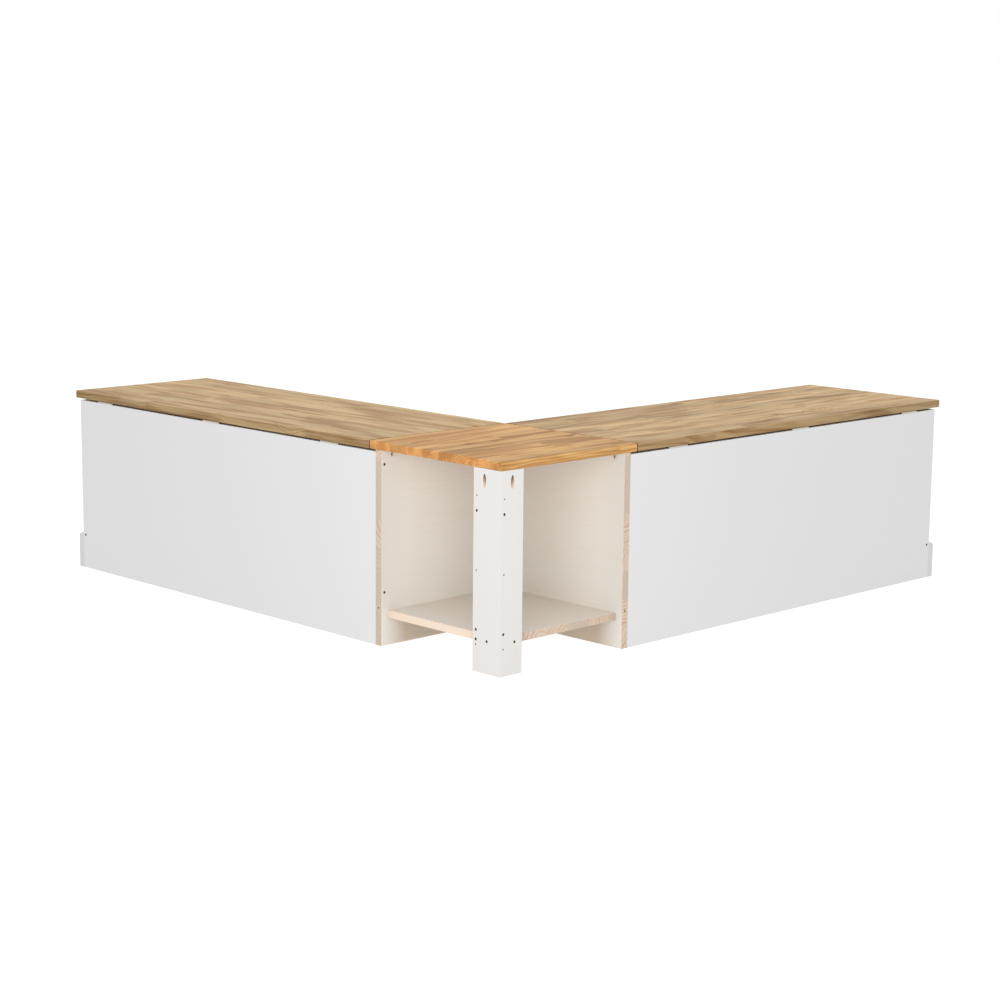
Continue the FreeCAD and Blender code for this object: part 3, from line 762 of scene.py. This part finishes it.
def countersunk_screw():
    """A countersunk screw with a cross recess on each point, laid along the point's direction."""
    tree = bpy.data.node_groups.new("countersunk_screw", "GeometryNodeTree")
    group_sockets(tree, "INPUT", (
        ("Geometry", "Geometry", None), ("Head Radius", "Float", None),
        ("Shank Radius", "Float", None), ("Length", "Float", None), ("Seed", "Int", 4),
        ("Material", "Material", None),
    ))
    group_sockets(tree, "OUTPUT", (("Geometry", "Geometry", None),))
    points, head, shank, length, seed, material, _ = tree.nodes.new("NodeGroupInput").outputs

    # The head is a cone with two crossed blades cut out of it
    cone_depth = add_node(tree, MATH, (head, shank), operation="SUBTRACT")
    cone = add_node(tree, "GeometryNodeMeshCone", {
        "Vertices": HEAD_SIDES, "Radius Top": shank, "Radius Bottom": head, "Depth": cone_depth})
    blade_size = add_node(tree, COMBINE, [
        add_node(tree, MATH, (head, share), operation="MULTIPLY") for share in BLADE])
    blade = add_node(tree, "GeometryNodeMeshCube", {"Size": blade_size})
    crossed = add_node(tree, "GeometryNodeTransform", {
        "Geometry": blade, "Rotation": (0, 0, math.pi / 2)})
    carved = add_node(tree, "GeometryNodeMeshBoolean", {"Mesh 1": cone}, operation="DIFFERENCE")
    for cutter in (blade, crossed):
        tree.links.new(cutter.outputs[0], carved.inputs["Mesh 2"])
    shaft = add_node(tree, "GeometryNodeMeshCylinder", {
        "Vertices": SHANK_SIDES, "Radius": shank, "Depth": length})
    lift = add_node(tree, MATH, (length, 0.5, cone_depth), operation="MULTIPLY_ADD")
    lift = add_node(tree, COMBINE, {Z: lift})
    lifted = add_node(tree, "GeometryNodeTransform", {"Geometry": shaft, "Translation": lift})
    whole = add_node(tree, "GeometryNodeJoinGeometry", (lifted,))
    tree.links.new(carved.outputs[0], whole.inputs[0])

    # Each screw stopped at its own turn
    heading = add_node(tree, "GeometryNodeInputNamedAttribute", {"Name": "direction"},
                       data_type="FLOAT_VECTOR")
    upright = add_node(tree, "FunctionNodeAlignRotationToVector", {"Vector": heading}, axis="Z")
    turn = add_node(tree, "FunctionNodeRandomValue", {LEAST: 0.0, MOST: math.pi, "Seed": seed})
    turn = add_node(tree, COMBINE, {Z: turn})
    turn = add_node(tree, "FunctionNodeEulerToRotation", (turn,))
    turned = add_node(tree, "FunctionNodeRotateRotation", (upright, turn), rotation_space="LOCAL")
    placed = add_node(tree, "GeometryNodeInstanceOnPoints", {
        "Points": points, "Instance": whole, "Rotation": turned})
    real = add_node(tree, "GeometryNodeRealizeInstances", (placed,))
    coloured = add_node(tree, "GeometryNodeSetMaterial", {"Geometry": real, "Material": material})
    add_node(tree, "NodeGroupOutput", (coloured,))


def screws_at(name, places, sizes, material):
    """One mesh of screws at (head centre, direction) places."""
    mesh = bpy.data.meshes.new(name + "_points")
    mesh.from_pydata([tuple(place) for place, _ in places], [], [])
    directions = mesh.attributes.new("direction", "FLOAT_VECTOR", "POINT")
    directions.data.foreach_set("vector", [part for _, way in places for part in way])
    carrier = bpy.data.objects.new(name + "_points", mesh)
    bpy.context.scene.collection.objects.link(carrier)
    tree = bpy.data.node_groups["countersunk_screw"]
    modifier = carrier.modifiers.new("screws", "NODES")
    modifier.node_group = tree
    values = dict(zip(("Head Radius", "Shank Radius", "Length"), sizes), Material=material)
    for item in tree.interface.items_tree:
        if item.in_out == "INPUT" and item.name in values:
            modifier[item.identifier] = values[item.name]
    evaluated = carrier.evaluated_get(bpy.context.evaluated_depsgraph_get())
    piece = bpy.data.objects.new(name, bpy.data.meshes.new_from_object(evaluated))
    piece.data.name = name
    bpy.data.objects.remove(carrier)
    bpy.context.scene.collection.objects.link(piece)
    if not piece.data.polygons:
        raise RuntimeError(name + " came out empty")
    return piece


SAME_CORNER = 0.001 * MM
END_RING = 0.05 * MM


def solids_of(node):
    """The corner points of each separate solid of a node."""
    work = bmesh.new()
    work.from_mesh(frame["nodes"][node].data)
    bmesh.ops.remove_doubles(work, verts=work.verts, dist=SAME_CORNER)
    left = set(work.verts)
    groups = []
    while left:
        waiting = [left.pop()]
        group = []
        while waiting:
            corner = waiting.pop()
            group.append(corner.co.copy())
            for edge in corner.link_edges:
                other = edge.other_vert(corner)
                if other in left:
                    left.remove(other)
                    waiting.append(other)
        groups.append(np.array(group))
    work.free()
    return sorted(groups, key=lambda points: tuple(points.mean(axis=0)))


def screw_place(points):
    """(head centre, direction, head radius, shank radius, length) of one screw's solid."""
    middle = points.mean(axis=0)
    axis = np.linalg.svd(points - middle)[2][0]
    reach = (points - middle) @ axis
    ends = []
    for way in (-1, 1):
        ring = points[reach * way > (reach * way).max() - END_RING]
        centre = ring.mean(axis=0)
        ends.append((np.linalg.norm(ring - centre, axis=1).mean(), centre))
    (shank_radius, tip), (head_radius, head) = sorted(ends, key=lambda end: end[0])
    direction = (tip - head) / np.linalg.norm(tip - head)
    return Vector(head), Vector(direction), head_radius, shank_radius, np.linalg.norm(tip - head)


class BENCH_OT_screws(bpy.types.Operator):
    """Put turned screws where the frame has its plain pegs"""

    bl_idname = "bench.screws"
    bl_label = "Joint and hinge screws"

    def execute(self, context):
        metal = context.scene.bench_metal
        black = plated_steel(
            "Black phosphated steel", metal.black, metallic=0.6,
            roughness_low=0.45, roughness_high=0.6, grain_mm=1.5)
        zinc = bpy.data.materials["Zinc-plated steel"]
        for node in [name for name in frame["nodes"] if name.endswith("screws")]:
            measured = [screw_place(points) for points in solids_of(node)]
            places = [(head, direction) for head, direction, _, _, _ in measured]
            head_radius, shank_radius, length = measured[0][2:]
            cone_depth = head_radius - shank_radius
            material = zinc if "hinge" in node else black
            sizes = (head_radius, shank_radius, length - cone_depth)
            piece = screws_at("turned_" + node, places, sizes, material)
            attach(piece, frame["nodes"][node]["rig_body"])
            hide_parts(node)
        return {"FINISHED"}


class BENCH_OT_small_screws(bpy.types.Operator):
    """Drive the small screws of the cleats, battens and plinths"""

    bl_idname = "bench.small_screws"
    bl_label = "Small wood screws"

    proud = 0.1 * MM
    cleat_inset = 100 * MM
    cleat_screws = 4
    batten_inset = 60 * MM
    batten_screws = 2
    plinth_inset = 120 * MM
    plinth_screws = 3
    plinth_height = 30 * MM

    @staticmethod
    def along_bar(node, axis, inset, count):
        """Evenly spaced middles of a bar."""
        low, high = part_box(node)
        for index in range(count):
            place = (low + high) / 2
            share = index / (count - 1)
            place[axis] = low[axis] + inset + (high[axis] - low[axis] - 2 * inset) * share
            yield place, low, high

    def execute(self, context):
        metal = context.scene.bench_metal
        zinc = bpy.data.materials["Zinc-plated steel"]
        sizes = (metal.screw_head, metal.screw_shank, metal.screw_length)
        for wing in (RIGHT, LEFT):
            run, deep, wall, _ = wing_axes(wing)
            case, lid = [], []
            for name, way in (("_rear_cleat", wall), ("_front_cleat", -wall)):
                for place, low, high in self.along_bar(
                        wing + name, run, self.cleat_inset, self.cleat_screws):
                    face = low if way > 0 else high
                    place[deep] = face[deep] - way * self.proud
                    case.append((place, self.toward(deep, way)))
            for place, low, high in self.along_bar(
                    wing + "_front_panel", run, self.plinth_inset, self.plinth_screws):
                place[deep] = (high if wall > 0 else low)[deep] + wall * self.proud
                place[Z] = self.plinth_height
                case.append((place, self.toward(deep, -wall)))
            for name in ("_lid_batten_inner", "_lid_batten_outer"):
                for place, low, _ in self.along_bar(
                        wing + name, deep, self.batten_inset, self.batten_screws):
                    place[Z] = low[Z] - self.proud
                    lid.append((place, self.toward(Z, 1)))
            for group, places, body in (("case", case, "bench"), ("lid", lid, wing + "_lid")):
                piece = screws_at(wing + "_small_screws_" + group, places, sizes, zinc)
                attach(piece, body)
        return {"FINISHED"}

    @staticmethod
    def toward(axis, way):
        """The direction along an axis, forward or back."""
        direction = Vector((0, 0, 0))
        direction[axis] = way
        return direction


class BENCH_OT_stage(bpy.types.Operator):
    """Lay the floor, light the studio and set up the camera"""

    bl_idname = "bench.stage"
    bl_label = "Stage"

    mottle_scale = 3.0
    mottle_depth = 0.06
    lamp_size = 1.4
    lamp_place = Vector((-1.2, 1.35, 0.6))
    lamp_aim = Vector((0, 0, 0.25))

    def execute(self, context):
        stage = context.scene.bench_stage
        self.lay_floor(context, stage)
        self.light(context, stage)
        self.place_camera(context)
        context.scene.view_settings.view_transform = "Standard"
        return {"FINISHED"}

    def lay_floor(self, context, stage):
        half = stage.floor_size / 2
        corners = [(-half, -half, 0), (half, -half, 0), (half, half, 0), (-half, half, 0)]
        mesh = bpy.data.meshes.new("floor")
        mesh.from_pydata(corners, [], [(0, 1, 2, 3)])
        floor = bpy.data.objects.new("floor", mesh)
        context.scene.collection.objects.link(floor)
        # A pale studio floor lit from below, as for cut-out pictures: it glows white, so that
        # hardly a shadow shows where the bench stands.
        material = bpy.data.materials.new("Lit studio floor")
        material.use_nodes = True
        tree = material.node_tree
        tree.nodes.clear()
        place = tree.nodes.new("ShaderNodeTexCoord").outputs["Object"]
        mottle = add_node(tree, NOISE, {"Vector": place, "Scale": self.mottle_scale})
        tint = add_node(tree, MATH, (mottle, self.mottle_depth), operation="MULTIPLY")
        tint = add_node(tree, MIX, {SHARE: tint, UNDER: stage.floor, OVER: (1, 1, 1, 1)}, **COLOUR)
        shader = add_node(tree, "ShaderNodeBsdfPrincipled", {
            "Base Color": tint, "Roughness": 0.95, "Specular IOR Level": 0.0,
            "Emission Color": (1, 1, 1, 1), "Emission Strength": stage.glow})
        add_node(tree, "ShaderNodeOutputMaterial", (shader,))
        mesh.materials.append(material)

    def light(self, context, stage):
        world = bpy.data.worlds.new("even white studio")
        world.use_nodes = True
        background = world.node_tree.nodes["Background"]
        background.inputs["Color"].default_value = (1.0, 1.0, 1.0, 1.0)
        background.inputs["Strength"].default_value = stage.sky
        context.scene.world = world
        lamp = bpy.data.lights.new("key", "AREA")
        lamp.shape = "DISK"
        lamp.size = self.lamp_size
        lamp.energy = stage.key
        key = bpy.data.objects.new("key", lamp)
        aim = WALL_CORNER + self.lamp_aim
        key.location = WALL_CORNER + self.lamp_place
        key.rotation_euler = (aim - key.location).to_track_quat("-Z", "Y").to_euler()
        key.visible_camera = False
        context.scene.collection.objects.link(key)

    def place_camera(self, context):
        """The camera that sees the bench as the photograph does."""
        data = bpy.data.cameras.new("camera")
        data.sensor_width = SENSOR_WIDTH
        data.lens = FOCAL_PIXELS * SENSOR_WIDTH / PICTURE_PIXELS
        data.clip_start = 0.1
        data.clip_end = 100
        cosine, sine = math.cos(CAMERA_TURN), math.sin(CAMERA_TURN)
        level = math.cos(CAMERA_TILT)
        ahead = Vector((cosine * level, -sine * level, math.sin(CAMERA_TILT)))
        level_right = Vector((-sine, -cosine, 0))
        level_up = level_right.cross(ahead)
        right = math.cos(CAMERA_ROLL) * level_right + math.sin(CAMERA_ROLL) * level_up
        up = math.cos(CAMERA_ROLL) * level_up - math.sin(CAMERA_ROLL) * level_right
        camera = bpy.data.objects.new("camera", data)
        turn = Matrix((right, up, -ahead)).transposed().to_4x4()
        spot = WALL_CORNER + Vector((CAMERA_ALONG_RIGHT, -CAMERA_ALONG_LEFT, CAMERA_HEIGHT))
        camera.matrix_world = Matrix.Translation(spot) @ turn
        context.scene.collection.objects.link(camera)
        context.scene.camera = camera


class BENCH_PT_sidebar(bpy.types.Panel):
    """The bench's sizes, colours and pieces"""

    bl_label = "Corner storage bench"
    bl_idname = "BENCH_PT_sidebar"
    bl_space_type = "VIEW_3D"
    bl_region_type = "UI"
    bl_category = "Bench"

    def draw(self, context):
        for group in GROUPS:
            box = self.layout.box()
            settings = getattr(context.scene, group)
            for name in settings.__annotations__:
                box.prop(settings, name)
        for operator in OPERATORS:
            self.layout.operator(operator.bl_idname)


GROUPS = {"bench_timber": BenchTimber, "bench_metal": BenchMetal, "bench_stage": BenchStage}
OPERATORS = (
    BENCH_OT_seats, BENCH_OT_case, BENCH_OT_bars, BENCH_OT_hinges, BENCH_OT_screws,
    BENCH_OT_small_screws, BENCH_OT_stage,
)


def register():
    for kind in (*GROUPS.values(), *OPERATORS, BENCH_PT_sidebar):
        bpy.utils.register_class(kind)
    for name, kind in GROUPS.items():
        setattr(bpy.types.Scene, name, bpy.props.PointerProperty(type=kind))


def unregister():
    for name in GROUPS:
        delattr(bpy.types.Scene, name)
    for kind in reversed((*GROUPS.values(), *OPERATORS, BENCH_PT_sidebar)):
        bpy.utils.unregister_class(kind)


def main():
    register()
    pine_figure()
    countersunk_screw()
    bpy.ops.bench.seats()
    bpy.ops.bench.case()
    bpy.ops.bench.bars()
    bpy.ops.bench.hinges()
    bpy.ops.bench.screws()
    bpy.ops.bench.small_screws()
    bpy.ops.bench.stage()


if __name__ == "__main__":
    main()
